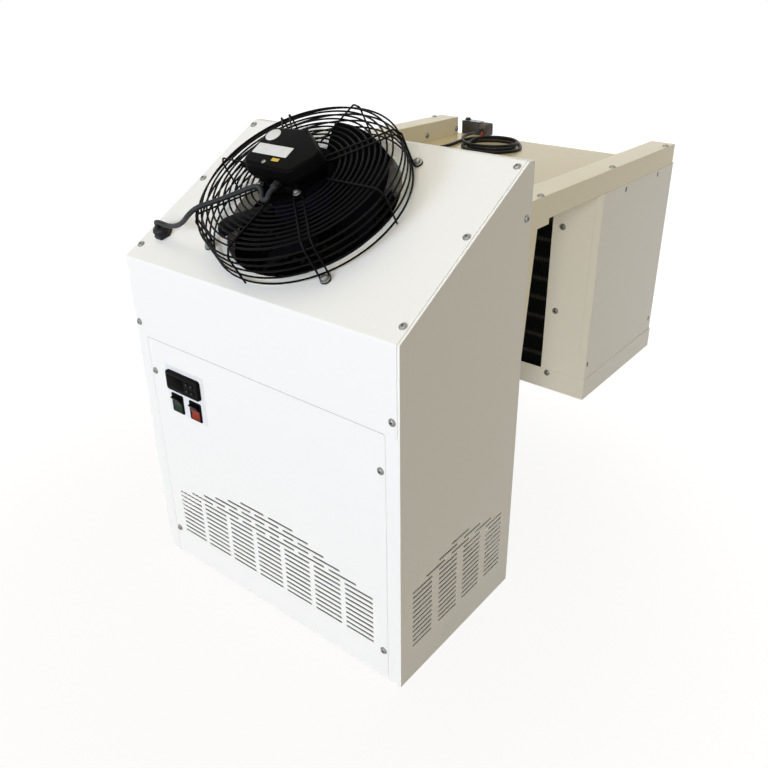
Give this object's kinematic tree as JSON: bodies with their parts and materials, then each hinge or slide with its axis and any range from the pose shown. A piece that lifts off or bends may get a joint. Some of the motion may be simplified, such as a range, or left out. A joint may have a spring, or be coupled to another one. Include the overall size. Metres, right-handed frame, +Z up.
{
  "type": "monoblock freezer unit",
  "caption": "Through-wall monoblock freezer unit: sloping condensing housing with a guarded fan and controls, a bridge over the wall and an evaporator box with drain.",
  "frame": {"origin": "middle of the housing's base, on the surface it stands on", "axes": "+X across the unit to the right, +Y from the condensing housing to the evaporator, +Z up"},
  "size_m": [0.5052, 0.8254, 0.7257],
  "materials": {
    "white_enamel": "gloss powder coat, faint orange peel",
    "black_wire": "satin black coated wire",
    "black_paint": "satin black paint",
    "black_plastic": "fine grained moulding",
    "button_plastic": "soft satin buttons",
    "display_window": "dark gloss window",
    "green_rocker_plastic": "translucent green rocker",
    "red_rocker_plastic": "translucent orange-red rocker",
    "fin_aluminium": "thin corrugated fins, dark between",
    "galvanised_steel": "galvanised sheet",
    "copper_pipe": "drawn copper, dulled",
    "zinc_fasteners": "zinc-plated heads",
    "heater_steel": "sheathed rod",
    "grey_gland": "dark grey nylon",
    "cable_sheath": "black PVC sheath",
    "foot_rubber": "moulded rubber",
    "grey_box_plastic": "grey-brown moulding",
    "drain_plastic": "black moulded drain"
  },
  "bodies": {
    "root": {"base_tray": "white_enamel", "side_panel_left": "white_enamel", "side_panel_right": "white_enamel", "upper_cover": "white_enamel", "front_cover": "white_enamel", "rear_panel": "white_enamel", "control_plate": "black_plastic", "controller_case": "black_plastic", "controller_window": "display_window", "green_switch_frame": "black_plastic", "red_switch_frame": "black_plastic", "fan_guard": "black_wire", "fan_motor": "black_paint", "terminal_box": "black_plastic", "terminal_lid": "black_plastic", "rail_left": "white_enamel", "rail_right": "white_enamel", "bridge_deck": "white_enamel", "rail_brackets": "white_enamel", "evaporator_side_left": "white_enamel", "evaporator_side_right": "white_enamel", "evaporator_front_strips": "white_enamel", "evaporator_rear_panel": "white_enamel", "drain_tray": "white_enamel", "drain_spigot": "drain_plastic", "evaporator_fins": "fin_aluminium", "evaporator_tubes": "copper_pipe", "evaporator_end_plates": "galvanised_steel", "defrost_heater": "heater_steel", "evaporator_guard": "black_wire", "evaporator_motor": "black_paint", "condenser_fins": "fin_aluminium", "condenser_tubes": "copper_pipe", "condenser_end_plates": "galvanised_steel", "compressor": "black_paint", "compressor_grommets": "foot_rubber", "compressor_bolts": "zinc_fasteners", "compressor_terminal_cover": "black_plastic", "filter_drier": "copper_pipe", "suction_pipe": "copper_pipe", "liquid_pipe": "copper_pipe", "condenser_pipes": "copper_pipe", "panel_screws": "zinc_fasteners", "cable_glands": "grey_gland", "fan_cable": "cable_sheath", "cable_coil": "cable_sheath", "cable_lead_start": "cable_sheath", "cable_lead_end": "cable_sheath", "cable_box": "grey_box_plastic", "box_bracket": "galvanised_steel"},
    "condenser_fan": {"fan_rotor": "black_paint", "fan_blades": "black_paint"},
    "evaporator_fan": {"evaporator_rotor": "black_paint", "evaporator_blades": "black_paint"},
    "green_rocker": {"green_rocker": "green_rocker_plastic"},
    "red_rocker": {"red_rocker": "red_rocker_plastic"},
    "button_1": {"controller_button_1": "button_plastic"},
    "button_2": {"controller_button_2": "button_plastic"},
    "button_3": {"controller_button_3": "button_plastic"},
    "button_4": {"controller_button_4": "button_plastic"}
  },
  "joints": [
    {"name": "condenser_fan_spin", "type": "hinge", "parent": "root", "child": "condenser_fan", "pos_m": [-0.0075, 0.00007, 0.60264], "axis": [0, -0.5131, 0.8583], "continuous": true},
    {"name": "evaporator_fan_spin", "type": "hinge", "parent": "root", "child": "evaporator_fan", "pos_m": [0, 0.6425, 0.43], "axis": [0, 1, 0], "continuous": true},
    {"name": "green_rocker_tilt", "type": "hinge", "parent": "root", "child": "green_rocker", "pos_m": [-0.173, -0.1379, 0.3035], "axis": [1, 0, 0], "range_deg": [-24, 0]},
    {"name": "red_rocker_tilt", "type": "hinge", "parent": "root", "child": "red_rocker", "pos_m": [-0.1323, -0.1379, 0.3035], "axis": [1, 0, 0], "range_deg": [-24, 0]},
    {"name": "button_1_press", "type": "slide", "parent": "root", "child": "button_1", "axis": [0, 1, 0], "range_m": [0, 0.0008], "stiffness_N_per_m": 500},
    {"name": "button_2_press", "type": "slide", "parent": "root", "child": "button_2", "axis": [0, 1, 0], "range_m": [0, 0.0008], "stiffness_N_per_m": 500},
    {"name": "button_3_press", "type": "slide", "parent": "root", "child": "button_3", "axis": [0, 1, 0], "range_m": [0, 0.0008], "stiffness_N_per_m": 500},
    {"name": "button_4_press", "type": "slide", "parent": "root", "child": "button_4", "axis": [0, 1, 0], "range_m": [0, 0.0008], "stiffness_N_per_m": 500}
  ]
}
